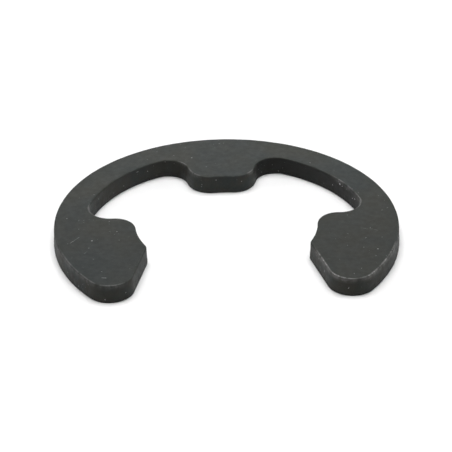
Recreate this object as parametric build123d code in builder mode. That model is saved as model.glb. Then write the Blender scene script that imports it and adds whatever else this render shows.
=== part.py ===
from build123d import *

import os
from math import cos, radians, sqrt, tan

# Retaining washer of the E pattern, pushed sideways into the groove of a shaft.
#
# One piece, stamped from flat spring steel: a rim that is an open ring, a tab that reaches in from
# the middle of the rim, and a lug at each end of the rim. The tab and the two lugs grip the floor
# of the groove. The relief on each side of the tab leaves the rim narrow enough to spring open.
#
# Millimetres and degrees. Z is the shaft's axis, with the lower face on the plane Z = 0. The rolled
# edges of the stamping are up. The tab is on the +Y side and the throat opens towards -Y.

# Strip that the washer is stamped from
thickness = 1.27

# From the shaft outwards: the circle that grips it, the relief beyond, and the rim round both
grip_diameter = 11.95
relief_depth = 3.345
rim_width = 1.98

# Tab: its width on the grip circle, and the lean of each flank from the middle line
tab_tip_width = 3.7
tab_flank_lean = 16.0

# Lugs: their shoulders' height above the shaft's middle, how far below it they still hug the
# shaft, as an angle round it, and the lean of the throat's flanks from the middle line
lug_shoulder = 0.85
lug_wrap = 28.4
throat_flank_lean = 14.9

# Rounds at the corners of the outline
tab_tip_round = 1.5
relief_root_round = 1.4
relief_end_round = 1.4
lug_nose_round = 1.4
throat_corner_round = 0.6
lug_end_round = 1.55

# Rounds along the stamped edges: rolled over on the upper face, tumbled on the lower one
rolled_edge_round = 0.1
tumbled_edge_round = 0.05

grip_radius = grip_diameter / 2
relief_radius = grip_radius + relief_depth
rim_radius = relief_radius + rim_width


def kept(corner_round, wall):
    """A corner's round, but never so large that it uses up the wall that it ends on."""
    return min(corner_round, 0.8 * wall)


# The outline's corners in mirrored pairs: the circle that a pair lies on, the pair's place among
# that circle's corners counted up from the throat, and its round
corner_pairs = [
    (grip_radius, 1, kept(lug_nose_round, relief_depth - relief_end_round)),
    (grip_radius, 0, throat_corner_round),
    (grip_radius, -1, kept(tab_tip_round, min(relief_depth - relief_root_round, tab_tip_width / 2))),
    (relief_radius, -1, kept(relief_root_round, relief_depth - tab_tip_round)),
    (relief_radius, 0, kept(relief_end_round, relief_depth - lug_nose_round)),
    (rim_radius, 0, lug_end_round),
]


def lies_on(radius):
    """A test for the corners of the outline that lie on the circle of that radius."""
    return lambda corner: abs(sqrt(corner.X**2 + corner.Y**2) - radius) < 0.001


def tab_corners():
    """The tab's four corners, from its tip on the grip circle to its root within the rim."""
    tip_x = tab_tip_width / 2
    tip_y = sqrt(grip_radius**2 - tip_x**2)
    root_y = relief_radius + rim_width / 2
    root_x = tip_x + (root_y - tip_y) * tan(radians(tab_flank_lean))
    return [(-tip_x, tip_y), (-root_x, root_y), (root_x, root_y), (tip_x, tip_y)]


def throat_corners():
    """The flared throat's four corners, from the grip circle to beyond the rim."""
    inner_x = grip_radius * cos(radians(lug_wrap))
    inner_y = -sqrt(grip_radius**2 - inner_x**2)
    mouth_y = -2 * rim_radius
    mouth_x = inner_x + (inner_y - mouth_y) * tan(radians(throat_flank_lean))
    return [(-inner_x, inner_y), (-mouth_x, mouth_y), (mouth_x, mouth_y), (inner_x, inner_y)]


with BuildPart() as clip:
    with BuildSketch() as outline:
        Circle(rim_radius)

        # The relief's circle is cut only above the shoulders of the lugs
        with BuildSketch(mode=Mode.PRIVATE) as relief:
            Circle(relief_radius)
            with Locations((0, lug_shoulder)):
                Rectangle(
                    2 * rim_radius,
                    2 * rim_radius,
                    align=(Align.CENTER, Align.MIN),
                    mode=Mode.INTERSECT,
                )
        add(relief.sketch, mode=Mode.SUBTRACT)

        Polygon(*tab_corners(), align=None)
        Circle(grip_radius, mode=Mode.SUBTRACT)
        Polygon(*throat_corners(), align=None, mode=Mode.SUBTRACT)

        for circle_radius, place, corner_round in corner_pairs:
            corners = outline.vertices().filter_by(lies_on(circle_radius)).group_by(Axis.Y)
            fillet(corners[place], corner_round)

    extrude(amount=thickness)
    fillet(clip.edges().group_by(Axis.Z)[-1], rolled_edge_round)
    fillet(clip.edges().group_by(Axis.Z)[0], tumbled_edge_round)

clip.part.label = "clip"

os.makedirs("parts", exist_ok=True)
export_step(clip.part, "parts/clip.step")
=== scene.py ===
from math import atan2, ceil, cos, pi, radians, sin, sqrt

import bpy
from mathutils import Matrix, Vector, noise


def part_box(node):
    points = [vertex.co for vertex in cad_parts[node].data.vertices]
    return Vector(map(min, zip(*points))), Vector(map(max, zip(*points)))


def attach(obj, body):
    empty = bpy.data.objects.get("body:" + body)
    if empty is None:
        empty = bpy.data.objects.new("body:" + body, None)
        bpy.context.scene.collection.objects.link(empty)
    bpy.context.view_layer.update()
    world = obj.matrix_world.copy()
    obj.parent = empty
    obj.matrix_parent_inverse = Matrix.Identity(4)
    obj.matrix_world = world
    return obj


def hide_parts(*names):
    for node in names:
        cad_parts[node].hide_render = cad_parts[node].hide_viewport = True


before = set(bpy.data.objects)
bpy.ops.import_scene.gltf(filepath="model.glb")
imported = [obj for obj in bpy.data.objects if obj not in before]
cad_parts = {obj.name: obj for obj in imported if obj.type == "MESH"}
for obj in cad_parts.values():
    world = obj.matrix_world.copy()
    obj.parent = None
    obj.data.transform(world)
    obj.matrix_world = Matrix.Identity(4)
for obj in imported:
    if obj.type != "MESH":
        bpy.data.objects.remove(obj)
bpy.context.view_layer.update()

MM = 0.001

# The stamping's sizes: the box of the solid clip gives the rim and the strip
low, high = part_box("clip")
thickness = high[2] - low[2]
rim_radius = high[1]
relief_radius = 9.32 * MM
grip_radius = 5.975 * MM

tab_tip_width = 3.7 * MM
tab_flank_lean = radians(16.0)
lug_shoulder = 0.85 * MM
lug_wrap = radians(28.4)
throat_flank_lean = radians(14.9)

tab_tip_round = 1.5 * MM
relief_root_round = 1.4 * MM
relief_end_round = 1.4 * MM
lug_nose_round = 1.4 * MM
throat_corner_round = 0.6 * MM
lug_end_round = 1.55 * MM

# Bands of the stamped edge, from the lower face up: the tumbled edge, the rough torn band, the
# smooth sheared band, and the edge that rolled over. The wall leans out towards the lower face
tumbled_round = 0.05 * MM
torn_height = 0.38 * MM
roll_height = 0.13 * MM
roll_width = 0.09 * MM
roll_dip = 0.004 * MM
wall_lean = 0.035 * MM

# Unevenness of the torn band and of the rolled edge: the spacing of its bumps and how far they
# move the surface. The torn band's top wanders up and down, in so many waves to a millimetre
torn_bumps = (0.13 * MM, 0.07 * MM)
edge_bumps = (0.7 * MM, 0.018 * MM)
torn_top_wander = 0.12 * MM
torn_top_waves = 0.8

# The mesh: the spacing of its points along the outline, how near two points have to be to be one,
# the rings in each band, the plain border of both flat faces, and the squares within it
outline_step = 0.09 * MM
same_point = 0.0005 * MM
torn_rings = 7
sheared_rings = 5
roll_rings = 6
tumbled_rings = 3
face_border = 0.1 * MM
face_square = 0.5 * MM


def deselect_all():
    bpy.ops.object.select_all(action="DESELECT")


def select_only(obj):
    deselect_all()
    obj.select_set(True)
    bpy.context.view_layer.objects.active = obj


# Outline


def round_on_flank(start, direction, away, distance):
    """The centre of a round that touches a straight flank and lies at a distance from the axis."""
    offset = start + away
    along = offset.dot(direction)
    root = sqrt(along**2 - offset.length_squared + distance**2)
    return offset + direction * (root - along)


def half_outline():
    """The right half's arcs from the rim's top to the tab's tip: centre, radius, first and last
    angle. Each arc's end and the next one's start are the same point or the ends of a flank."""
    axis = Vector((0, 0))

    throat_start = grip_radius * Vector((cos(lug_wrap), -sin(lug_wrap)))
    throat_along = Vector((sin(throat_flank_lean), -cos(throat_flank_lean)))
    throat_side = Vector((cos(throat_flank_lean), sin(throat_flank_lean)))
    end_round = round_on_flank(
        throat_start, throat_along, throat_side * lug_end_round, rim_radius - lug_end_round
    )
    corner_round = round_on_flank(
        throat_start,
        throat_along,
        throat_side * throat_corner_round,
        grip_radius + throat_corner_round,
    )

    nose_height = lug_shoulder - lug_nose_round
    nose_reach = grip_radius + lug_nose_round
    nose_round = Vector((sqrt(nose_reach**2 - nose_height**2), nose_height))
    relief_height = lug_shoulder + relief_end_round
    relief_reach = relief_radius - relief_end_round
    relief_round = Vector((sqrt(relief_reach**2 - relief_height**2), relief_height))

    tip_x = tab_tip_width / 2
    tab_start = Vector((tip_x, sqrt(grip_radius**2 - tip_x**2)))
    tab_along = Vector((sin(tab_flank_lean), cos(tab_flank_lean)))
    tab_side = Vector((cos(tab_flank_lean), -sin(tab_flank_lean)))
    root_round = round_on_flank(
        tab_start, tab_along, tab_side * relief_root_round, relief_radius - relief_root_round
    )
    tip_round = round_on_flank(
        tab_start, tab_along, -tab_side * tab_tip_round, grip_radius + tab_tip_round
    )

    def bearing(point):
        return atan2(point.y, point.x)

    throat_bearing = pi + throat_flank_lean
    return [
        (axis, rim_radius, pi / 2, bearing(end_round)),
        (end_round, lug_end_round, bearing(end_round), throat_bearing - 2 * pi),
        (corner_round, throat_corner_round, throat_bearing, bearing(corner_round) + pi),
        (axis, grip_radius, bearing(corner_round), bearing(nose_round)),
        (nose_round, lug_nose_round, bearing(nose_round) + pi, pi / 2),
        (relief_round, relief_end_round, -pi / 2, bearing(relief_round)),
        (axis, relief_radius, bearing(relief_round), bearing(root_round)),
        (root_round, relief_root_round, bearing(root_round), pi - tab_flank_lean),
        (tip_round, tab_tip_round, -tab_flank_lean, bearing(tip_round) - pi),
        (axis, grip_radius, bearing(tip_round), pi / 2),
    ]


def point_at(centre, radius, angle):
    return centre + radius * Vector((cos(angle), sin(angle)))


def draw_half_outline():
    """Draws the right half as a chain of edges, spun and extruded from one point."""
    arcs = half_outline()
    here = point_at(*arcs[0][:3])
    bpy.ops.mesh.primitive_plane_add(size=MM, location=(here.x, here.y, 0))
    bpy.ops.object.transform_apply(location=True)
    bpy.ops.object.mode_set(mode="EDIT")
    bpy.ops.mesh.merge(type="CENTER")
    for centre, radius, first, last in arcs:
        flank = point_at(centre, radius, first) - here
        pieces = ceil(flank.length / outline_step)
        if flank.length > same_point:
            for _ in range(pieces):
                bpy.ops.mesh.extrude_region_move(
                    TRANSFORM_OT_translate={"value": (flank / pieces).to_3d()}
                )
        turn = last - first
        bpy.ops.mesh.spin(
            steps=ceil(abs(turn) * radius / outline_step),
            angle=abs(turn),
            center=centre.to_3d(),
            axis=(0, 0, -1 if turn > 0 else 1),
        )
        here = point_at(centre, radius, last)
    bpy.ops.object.mode_set(mode="OBJECT")
    return bpy.context.object


def mirror_across_middle(piece):
    """Adds the left half and joins the two at the rim's top and the tab's tip."""
    mirror = piece.modifiers.new("left half", "MIRROR")
    mirror.use_axis = (True, False, False)
    mirror.use_mirror_merge = True
    mirror.merge_threshold = same_point
    select_only(piece)
    bpy.ops.object.modifier_apply(modifier=mirror.name)


# Stamping


def wall_heights():
    """The heights of the wall's rings of points, closer together in the torn band."""
    torn_top = tumbled_round + torn_height
    sheared_top = thickness - roll_height
    torn = [tumbled_round + torn_height * i / torn_rings for i in range(torn_rings + 1)]
    sheared = [
        torn_top + (sheared_top - torn_top) * i / sheared_rings
        for i in range(1, sheared_rings + 1)
    ]
    return torn + sheared


def raise_wall(piece):
    """Fills the outline and extrudes it to a solid, ring by ring."""
    heights = wall_heights()
    select_only(piece)
    bpy.ops.object.mode_set(mode="EDIT")
    bpy.ops.mesh.select_all(action="SELECT")
    bpy.ops.mesh.edge_face_add()
    bpy.ops.transform.translate(value=(0, 0, heights[0]))
    for lower, upper in zip(heights, heights[1:]):
        bpy.ops.mesh.extrude_region_move(
            TRANSFORM_OT_translate={"value": (0, 0, upper - lower)}
        )


def round_over(width, height, steps):
    """Insets the selected face step by step along a quarter of an ellipse."""
    for step in range(steps):
        first, last = (pi / 2 * i / steps for i in (step, step + 1))
        bpy.ops.mesh.inset(
            thickness=width * (cos(first) - cos(last)),
            depth=height * (sin(last) - sin(first)),
            use_even_offset=True,
        )


def cut_in_squares():
    """Cuts the selected flat face into a grid of squares, both ways through the axis."""
    rows = int(rim_radius / face_square)
    bpy.ops.mesh.hide(unselected=True)
    for across in ((1, 0, 0), (0, 1, 0)):
        for row in range(-rows, rows + 1):
            bpy.ops.mesh.select_all(action="SELECT")
            bpy.ops.mesh.bisect(
                plane_co=Vector(across) * row * face_square,
                plane_no=across,
                threshold=same_point / 10,
            )
    bpy.ops.mesh.reveal(select=False)


def select_underside(piece):
    """In edit mode, selects the one face that is still in one piece."""
    bpy.ops.mesh.select_all(action="DESELECT")
    bpy.ops.object.mode_set(mode="OBJECT")
    underside = max(piece.data.polygons, key=lambda face: face.area)
    underside.select = True
    bpy.ops.object.mode_set(mode="EDIT")


def finish_faces(piece):
    """Rolls the upper edge over, tumbles the lower one, and borders both flat faces."""
    round_over(roll_width, roll_height - roll_dip, roll_rings)
    bpy.ops.mesh.inset(thickness=face_border / 2, depth=roll_dip)
    bpy.ops.mesh.inset(thickness=face_border, depth=0)
    cut_in_squares()
    select_underside(piece)
    round_over(tumbled_round, tumbled_round, tumbled_rings)
    bpy.ops.mesh.inset(thickness=face_border, depth=0)
    cut_in_squares()
    bpy.ops.mesh.select_all(action="SELECT")
    bpy.ops.mesh.normals_make_consistent(inside=False)
    bpy.ops.object.mode_set(mode="OBJECT")
    bpy.ops.object.shade_smooth()


def ramp(value, start, end):
    """0 at start, 1 at end, straight between them and level outside them."""
    return min(max((value - start) / (end - start), 0), 1)


def weigh(piece, name, weight):
    """A group of the piece's points, each with the weight that its place gives it."""
    group = piece.vertex_groups.new(name=name)
    for vertex in piece.data.vertices:
        group.add([vertex.index], weight(vertex.co), "REPLACE")
    return name


def lean_out(piece, group):
    """Moves the group's points outwards, by each one's weight of the wall's lean."""
    push = piece.modifiers.new(group, "DISPLACE")
    push.vertex_group = group
    push.strength = wall_lean
    push.mid_level = 0
    select_only(piece)
    bpy.ops.object.modifier_apply(modifier=push.name)


def roughen(piece, group, spacing, depth):
    """Moves the group's points in and out of the surface by a soft random relief."""
    relief = bpy.data.textures.new(group, "CLOUDS")
    relief.noise_scale = spacing
    relief.noise_depth = 3
    push = piece.modifiers.new(group, "DISPLACE")
    push.texture = relief
    push.texture_coords = "LOCAL"
    push.vertex_group = group
    push.strength = depth
    push.mid_level = 0.5
    select_only(piece)
    bpy.ops.object.modifier_apply(modifier=push.name)


def lean_weight(place):
    """1 at the foot of the wall, falling to 0 where the edge rolls over."""
    rising = ramp(place.z, 0, tumbled_round)
    return rising * (1 - ramp(place.z, tumbled_round, thickness - roll_height))


def torn_weight(place):
    """1 in the torn band, whose top wanders."""
    top = torn_height + torn_top_wander * noise.noise(place / MM * torn_top_waves)
    rising = ramp(place.z, tumbled_round / 2, tumbled_round * 2)
    return rising * (1 - ramp(place.z, top, top + tumbled_round * 2))


def edge_weight(place):
    """1 on the rolled edge, falling to 0 just below it, and 0 on the flat face."""
    if place.z > thickness - roll_dip / 2:
        return 0
    return ramp(place.z, thickness - 2 * roll_height, thickness - roll_height)


# Wear goes from 0, with the coating whole, to 1, with bright steel. All of the upper edge and of
# the foot's edge has a little. A worn place's wear holds over a share of its reach and then fades,
# and it is weaker on the wall just below the edge
light_wear = 0.12
full_wear_share = 0.4
wear_below_edge = 0.4

# The worn places, in millimetres: the middle, the reach and the wear
worn_places = [
    ((-10.4, -4.2), 1.8, 0.5),
    ((-9.2, -6.2), 1.6, 0.5),
    ((-7.6, -7.3), 1.2, 0.5),
    ((-9.1, 1.9), 1.5, 0.6),
    ((8.9, 2.2), 1.4, 0.75),
    ((5.9, -5.3), 1.9, 0.9),
    ((6.9, -7.1), 1.4, 0.95),
    ((8.8, -6.7), 1.3, 1.0),
    ((9.6, -5.9), 1.6, 0.85),
    ((10.5, -4.2), 1.3, 0.8),
    ((-1.9, 6.7), 0.9, 0.6),
    ((-2.4, 8.2), 0.7, 0.6),
    ((1.9, 6.6), 0.5, 0.6),
    ((8.2, 4.6), 1.5, 0.6),
]


def wear_nearby(spot):
    """The most that any of the worn places has rubbed off at a spot, seen from above."""
    return max(
        most * (1 - ramp((spot - Vector(middle)).length, reach * full_wear_share, reach))
        for middle, reach, most in worn_places
    )


def paint_wear(piece):
    """Stores on each point how worn its edge is and whether it is torn, from 0 to 1."""
    wear = piece.data.attributes.new("wear", "FLOAT", "POINT")
    torn = piece.data.attributes.new("torn", "FLOAT", "POINT")
    crest_start = thickness - roll_height / 2
    crest_full = thickness - roll_height / 6
    for vertex, worn, rough in zip(piece.data.vertices, wear.data, torn.data):
        height = vertex.co.z
        near = wear_nearby(vertex.co.xy / MM)
        crest = ramp(height, crest_start, crest_full)
        crest *= 1 - ramp(height, thickness - 2 * roll_dip, thickness)
        below = ramp(height, thickness - 2.5 * roll_height, thickness - roll_height)
        below *= 1 - ramp(height, crest_start, crest_full)
        foot = ramp(height, 0, tumbled_round / 2)
        foot *= 1 - ramp(height, tumbled_round / 2, tumbled_round)
        worn.value = max(
            max(near, light_wear) * crest,
            wear_below_edge * near * below,
            light_wear * foot,
        )
        rough.value = torn_weight(vertex.co)


def stamp_clip():
    """The whole clip as one closed mesh."""
    piece = draw_half_outline()
    piece.name = piece.data.name = "stamped_clip"
    mirror_across_middle(piece)
    raise_wall(piece)
    finish_faces(piece)
    paint_wear(piece)
    lean_out(piece, weigh(piece, "lean", lean_weight))
    roughen(piece, weigh(piece, "torn", torn_weight), *torn_bumps)
    roughen(piece, weigh(piece, "edge", edge_weight), *edge_bumps)
    return piece


deselect_all()
clip = stamp_clip()


# Finish


class Nodes:
    """Adds nodes to a material and links their inputs."""

    def __init__(self, material):
        material.use_nodes = True
        self.tree = material.node_tree
        self.shader = self.tree.nodes["Principled BSDF"]

    def add(self, kind, inputs=(), **settings):
        node = self.tree.nodes.new("ShaderNode" + kind)
        for name, value in settings.items():
            setattr(node, name, value)
        for name, value in dict(inputs).items():
            self.put(node.inputs[name], value)
        return node

    def put(self, socket, value):
        if isinstance(value, bpy.types.NodeSocket):
            self.tree.links.new(value, socket)
        else:
            socket.default_value = value

    def math(self, operation, *values):
        return self.add("Math", enumerate(values), operation=operation).outputs[0]

    def product(self, first, *others):
        for other in others:
            first = self.math("MULTIPLY", first, other)
        return first

    def total(self, base, *parts):
        """The base plus each part, which is a value and its share."""
        for value, share in parts:
            base = self.math("MULTIPLY_ADD", value, share, base)
        return base

    def vector(self, operation, *values, out="Vector"):
        return self.add("VectorMath", enumerate(values), operation=operation).outputs[out]

    def scaled(self, vector, amount):
        return self.add("VectorMath", {0: vector, "Scale": amount}, operation="SCALE").outputs[0]

    def span(self, value, start, end, low=0, high=1):
        """Maps value from start..end to low..high, level outside."""
        inputs = {0: value, 1: start, 2: end, 3: low, 4: high}
        return self.add("MapRange", inputs, clamp=True).outputs[0]

    def noise(self, place, scale, detail=2, rough=0.5):
        inputs = {"Vector": place, "Scale": scale, "Detail": detail, "Roughness": rough}
        return self.add("TexNoise", inputs).outputs["Fac"]

    def attribute(self, name):
        return self.add("Attribute", attribute_name=name).outputs["Fac"]

    def blend(self, amount, first, second):
        inputs = {0: amount, 6: first, 7: second}
        return self.add("Mix", inputs, data_type="RGBA", clamp_factor=True).outputs[2]


def grey(level, warmth=0.0):
    """A linear grey, with red raised and blue lowered by the warmth."""
    return (level * (1 + warmth), level * (1 + warmth * 0.1), level * (1 - warmth), 1)


# The coating's colours, and the steel where it is rubbed thin and where it is gone
cool_coating = (0.0134, 0.0178, 0.0170, 1)
warm_coating = (0.0178, 0.0192, 0.0148, 1)
brown_coating = (0.0222, 0.0202, 0.0156, 1)
rubbed_steel = grey(0.14, 0.02)
bright_steel = grey(0.5, 0.01)

# Light specks on the flat faces, light specks and painted glints on the walls, and dark pinholes
face_speck_grey = grey(0.3)
wall_glint_and_speck_grey = grey(0.6)
pinhole_grey = grey(0.008)

# How strongly each of these shows in the colour, from 0 to 1. Light marks are all of the specks
# and scratches together
brown_strength = 0.7
worn_strength = 0.75
faint_speck_strength = 0.4
glint_strength = 0.28
scratch_strength = 0.45
light_mark_strength = 0.8
pinhole_strength = 0.55

# How much the streaks and the pits change the wall's shade
streak_shade = 0.4
pit_shade = 0.9

# The coating's roughness, in its smoothest and its roughest blotches, what is added where it is
# rubbed and towards the back, and the light that the oil throws back
smooth_blotch, rough_blotch = 0.52, 0.7
rubbed_roughness = -0.14
back_roughness = -0.035
oil_shine = 0.24

# The relief of the finish: how far it stands up, and the share of each pattern in it
relief_depth = 0.012 * MM
relief_strength = 0.6
grain_relief = 0.5
mottle_relief = 0.15
pinhole_relief = -1
pit_relief = 1.5
streak_relief = 0.5

# The material works in millimetres, and a pattern's scale is so many to a millimetre: the height
# of the upper face, the streaks across and up the wall, how far the pinholes' pattern is shifted
# from the specks' one, and how far the edges of marks fray
upper_face = thickness / MM
streaks_each_way = (14, 14, 0.9)
pinhole_shift = (37, 11, 5)
fray = 0.12

# The share of a mark's half width that shows in full, and of a pattern's cells that have no dot
scratch_core = 0.4
speck_core = 0.5
empty_cells = 0.55

# Scratches on the upper face: both ends and half the width
scratches = [
    ((-10.21, -2.21), (-9.63, -1.49), 0.024),
    ((8.75, -1.32), (9.15, -1.5), 0.02),
    ((9.3, -1.45), (9.8, -1.7), 0.018),
    ((-8.17, -6.53), (-7.9, -6.57), 0.045),
    ((-9.3, -3.56), (-9.12, -3.34), 0.018),
]

# Grains of dust and pinholes that catch the light on the upper face, and painted glints on the
# walls of the reliefs and the tab, with their half widths
face_specks = [
    ((-8.81, -1.98), 0.06),
    ((-7.19, -0.94), 0.045),
    ((-7.64, -0.91), 0.03),
    ((-10.46, 0.91), 0.04),
    ((-9.67, 0.61), 0.03),
    ((-1.65, 6.15), 0.05),
    ((-1.97, 8.68), 0.05),
    ((-3.2, 9.03), 0.035),
    ((-5.15, 7.59), 0.035),
    ((9.55, -4.0), 0.05),
    ((8.91, -2.59), 0.03),
    ((7.8, -2.03), 0.03),
    ((7.74, -6.9), 0.035),
    ((8.28, -6.3), 0.03),
    ((-8.17, -5.81), 0.035),
    ((7.87, 4.52), 0.045),
    ((10.7, 1.15), 0.035),
    ((6.08, 7.52), 0.035),
]
painted_wall_glints = [
    ((7.92, 4.94, 1.01), 0.07),
    ((8.06, 4.72, 0.96), 0.045),
    ((7.5, 5.55, 0.6), 0.045),
    ((6.95, 6.23, 0.38), 0.04),
    ((8.77, 3.19, 0.82), 0.05),
    ((8.62, 3.5, 0.7), 0.035),
    ((-3.9, 8.48, 0.95), 0.035),
    ((-5.77, 7.33, 1.02), 0.03),
    ((1.19, 5.86, 1.09), 0.04),
    ((-0.43, 5.96, 1.0), 0.03),
    ((-1.39, 5.82, 0.81), 0.035),
]


class ClipNodes(Nodes):
    """Nodes with the patterns that the clip's colour, roughness and relief share."""

    def __init__(self, material):
        super().__init__(material)
        metres = self.add("TexCoord").outputs["Object"]
        self.place = self.vector("DIVIDE", metres, (MM, MM, MM))
        self.along = self.add("SeparateXYZ", {0: self.place}).outputs
        self.towards_back = self.span(self.along["Y"], -4, 9)

        # 1 on the stamped wall and 0 on the flat faces
        above_foot = self.span(self.along["Z"], 0.01, 0.06)
        below_crest = self.span(self.along["Z"], upper_face - 0.02, upper_face - 0.1)
        self.wall = self.math("MINIMUM", above_foot, below_crest)

        # The coating's blotches and its fine crystals
        self.mottle = self.noise(self.place, scale=2.6, detail=4, rough=0.6)
        self.grain = self.noise(self.place, scale=16, detail=3, rough=0.7)

        # A slightly shaken place, which frays what is drawn on it
        shake = self.add("TexNoise", {"Vector": self.place, "Scale": 22, "Detail": 1})
        shake = self.vector("SUBTRACT", shake.outputs["Color"], (0.5, 0.5, 0.5))
        self.ragged = self.vector("ADD", self.place, self.scaled(shake, fray))


def scratch_mask(n, start, end, half_width):
    """1 along the straight line from start to end on the upper face."""
    start, end = Vector((*start, upper_face)), Vector((*end, upper_face))
    run = end - start
    offset = n.vector("SUBTRACT", n.ragged, tuple(start))
    along = n.vector("DOT_PRODUCT", offset, tuple(run / run.length_squared), out="Value")
    nearest = n.scaled(tuple(run), n.math("MINIMUM", n.math("MAXIMUM", along, 0), 1))
    gap = n.vector("DISTANCE", offset, nearest, out="Value")
    return n.span(gap, half_width, half_width * scratch_core)


def speck_mask(n, spot, half_width):
    """1 within a small dot."""
    gap = n.vector("DISTANCE", n.ragged, spot, out="Value")
    return n.span(gap, half_width, half_width * speck_core)


def scattered_dots(n, place, scale, size):
    """Dots of uneven size in the cells of a random pattern. The size is the reach of the largest,
    as a share of a cell."""
    cells = n.add("TexVoronoi", {"Vector": place, "Scale": scale})
    chance = n.add("SeparateColor", {0: cells.outputs["Color"]}).outputs[0]
    reach = n.span(chance, empty_cells, 1, high=size)
    return n.math("LESS_THAN", cells.outputs["Distance"], reach)


def recess_painted_shade(n):
    """Painted shade on the walls of the two reliefs, darker on the right than on the left."""
    from_axis = n.vector("LENGTH", n.vector("MULTIPLY", n.place, (1, 1, 0)), out="Value")
    beyond_grip = n.span(from_axis, 7, 7.8)
    within_rim = n.span(from_axis, 9.6, 9.3)
    behind_lugs = n.span(n.along["Y"], 1.5, 3.5)
    left_to_right = n.span(n.along["X"], -4, 4, low=0.2, high=0.75)
    return n.product(n.wall, beyond_grip, within_rim, behind_lugs, left_to_right)


def coating_colour(n):
    """A dark grey that drifts between cool and warm, browner on the wall, with painted shade on
    the walls of the reliefs and a painted sheen that makes it lighter towards the back.
    """
    drift = n.span(n.noise(n.place, scale=0.32, detail=3, rough=0.55), 0.35, 0.65)
    coating = n.blend(drift, cool_coating, warm_coating)
    browned = n.span(n.noise(n.place, scale=1.3, detail=4, rough=0.6), 0.42, 0.62)
    coating = n.blend(n.product(n.wall, browned, brown_strength), coating, brown_coating)
    blotches = n.span(n.mottle, 0.3, 0.7, low=0.86, high=1.12)
    crystals = n.span(n.grain, 0.3, 0.7, low=-0.1, high=0.1)
    # Painted sheen: the colour is lighter towards the back, standing in for the light that the
    # upper face throws back there
    painted_sheen_behind = n.span(n.towards_back, 0, 1, low=0.88, high=1.1)
    # Painted shade: the walls of the reliefs are darkened where shade falls in the recesses
    painted_recess_shade = n.math("SUBTRACT", 1, recess_painted_shade(n))
    return n.scaled(
        coating, n.product(n.math("ADD", blotches, crystals), painted_sheen_behind, painted_recess_shade)
    )


def wall_marks(n):
    """The streaks that the die drew on the sheared band, and the pits of the torn band. Both go
    below 0 for dark and above it for light."""
    torn = n.attribute("torn")
    drawn = n.vector("MULTIPLY", n.place, streaks_each_way)
    drawn = n.noise(drawn, scale=1, detail=3, rough=0.6)
    streaks = n.product(n.math("SUBTRACT", n.wall, torn), n.math("SUBTRACT", drawn, 0.5))
    pitted = n.noise(n.place, scale=9, detail=4, rough=0.7)
    pits = n.product(torn, n.math("SUBTRACT", pitted, 0.5))
    return streaks, pits


def light_marks(n):
    """Specks and scratches that catch the light, and glints painted on the walls."""
    faint_specks = scattered_dots(n, n.ragged, scale=3, size=0.12)
    # Painted glints: light dots in patches on the wall, standing in for its sparkle
    glinting = n.span(n.noise(n.place, scale=0.45), 0.45, 0.6, high=glint_strength)
    glints = n.product(scattered_dots(n, n.ragged, scale=5, size=0.2), n.wall, glinting)
    marks = n.math("MAXIMUM", n.product(faint_specks, faint_speck_strength), glints)
    for spot, half_width in face_specks:
        marks = n.math("MAXIMUM", marks, speck_mask(n, (*spot, upper_face), half_width))
    # Painted glints on the walls of the reliefs and the tab
    for spot, half_width in painted_wall_glints:
        marks = n.math("MAXIMUM", marks, speck_mask(n, spot, half_width))
    for scratch in scratches:
        scratched = n.product(scratch_mask(n, *scratch), scratch_strength)
        marks = n.math("MAXIMUM", marks, scratched)
    return marks


def rubbed_edge(n):
    """How far the coating is rubbed thin, in patches, and where bright steel shows."""
    wear = n.attribute("wear")
    patches = n.noise(n.ragged, scale=2.8, detail=3, rough=0.6)
    rubbed = n.product(wear, n.span(patches, 0.34, 0.58, low=0.15))
    gleams = n.noise(n.ragged, scale=5, detail=3, rough=0.6)
    bright = n.product(n.span(gleams, 0.5, 0.62), n.span(wear, 0.6, 1))
    return rubbed, bright


def phosphated_steel():
    """Black phosphate with a film of oil, rubbed through in places along the upper edge."""
    material = bpy.data.materials.new("phosphated_steel")
    n = ClipNodes(material)
    rubbed, bright = rubbed_edge(n)
    streaks, pits = wall_marks(n)
    pinholes = scattered_dots(n, n.vector("ADD", n.place, pinhole_shift), scale=1.6, size=0.06)

    wall_shade = n.total(1, (streaks, streak_shade), (pits, pit_shade))
    colour = n.scaled(coating_colour(n), wall_shade)
    steel = n.blend(bright, rubbed_steel, bright_steel)
    colour = n.blend(n.span(rubbed, 0, 0.6, high=worn_strength), colour, steel)
    # On the wall, the specks and the painted glints take the lighter grey
    speck_grey = n.blend(n.wall, face_speck_grey, wall_glint_and_speck_grey)
    colour = n.blend(n.product(light_marks(n), light_mark_strength), colour, speck_grey)
    colour = n.blend(n.product(pinholes, pinhole_strength), colour, pinhole_grey)
    n.put(n.shader.inputs["Base Color"], colour)

    roughness = n.total(
        n.span(n.mottle, 0.3, 0.7, low=smooth_blotch, high=rough_blotch),
        (rubbed, rubbed_roughness),
        (n.towards_back, back_roughness),
    )
    n.put(n.shader.inputs["Roughness"], roughness)
    n.shader.inputs["Specular IOR Level"].default_value = oil_shine

    relief = n.total(
        0,
        (n.grain, grain_relief),
        (n.mottle, mottle_relief),
        (pinholes, pinhole_relief),
        (pits, pit_relief),
        (streaks, streak_relief),
    )
    bump = {"Height": relief, "Distance": relief_depth, "Strength": relief_strength}
    n.put(n.shader.inputs["Normal"], n.add("Bump", bump).outputs[0])
    return material


clip.data.materials.append(phosphated_steel())
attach(clip, "root")
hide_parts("clip")


# Floor, light and camera


floor_size = 3
floor_grey = grey(0.85)

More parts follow.
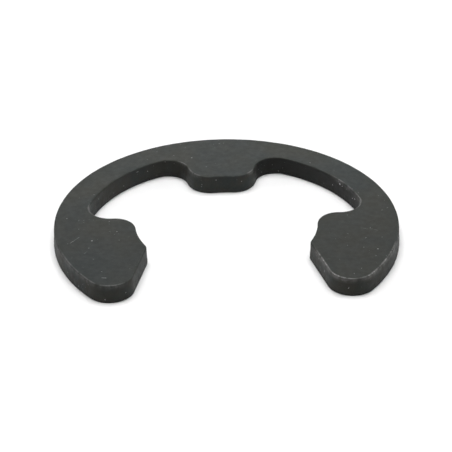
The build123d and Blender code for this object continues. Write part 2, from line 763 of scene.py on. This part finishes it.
# The softboxes: name, place and size in metres, and power. They all face the clip
softboxes = [
    ("overhead", (0, 0.06, 0.45), 0.36, 2.55),
    ("back", (0, 0.6, 0.25), 0.3, 0.82),
    ("left", (-0.5, 0.02, 0.2), 0.24, 0.92),
    ("right", (0.5, 0.02, 0.2), 0.24, 0.86),
    ("front", (0, -0.6, 0.25), 0.3, 0.6),
]
room_light = 0.02


def lay_floor():
    bpy.ops.mesh.primitive_plane_add(size=floor_size)
    floor = bpy.context.object
    floor.name = "floor"
    card = bpy.data.materials.new("pale_card")
    shader = Nodes(card).shader
    shader.inputs["Base Color"].default_value = floor_grey
    shader.inputs["Roughness"].default_value = 0.95
    shader.inputs["Specular IOR Level"].default_value = 0.1
    floor.data.materials.append(card)


def light_studio():
    for name, place, size, power in softboxes:
        bpy.ops.object.light_add(type="AREA", location=place)
        light = bpy.context.object
        light.name = name
        light.rotation_euler = (-Vector(place)).to_track_quat("-Z", "Y").to_euler()
        light.data.size = size
        light.data.energy = power
    world = bpy.data.worlds.new("studio")
    world.use_nodes = True
    world.node_tree.nodes["Background"].inputs["Strength"].default_value = room_light
    bpy.context.scene.world = world


# Where the photograph was taken from: the camera is turned from the middle, looks down and is
# rolled, and from the origin moves this far right, up and back. The lens and the sensor are in
# millimetres
view_turn = radians(2.54)
view_elevation = radians(30.81)
view_roll = radians(-0.34)
view_offset = Vector((-0.039, 0.779, 150.96)) * MM
view_lens = 182.6
sensor_width = 36
nearest_seen = 0.01


def set_camera():
    data = bpy.data.cameras.new("camera")
    data.sensor_width = sensor_width
    data.lens = view_lens
    data.clip_start = nearest_seen
    camera = bpy.data.objects.new("camera", data)
    bpy.context.collection.objects.link(camera)
    camera.matrix_world = (
        Matrix.Rotation(-view_turn, 4, "Z")
        @ Matrix.Rotation(pi / 2 - view_elevation, 4, "X")
        @ Matrix.Rotation(view_roll, 4, "Z")
        @ Matrix.Translation(view_offset)
    )
    bpy.context.scene.camera = camera
    bpy.context.scene.view_settings.view_transform = "Standard"


lay_floor()
light_studio()
set_camera()
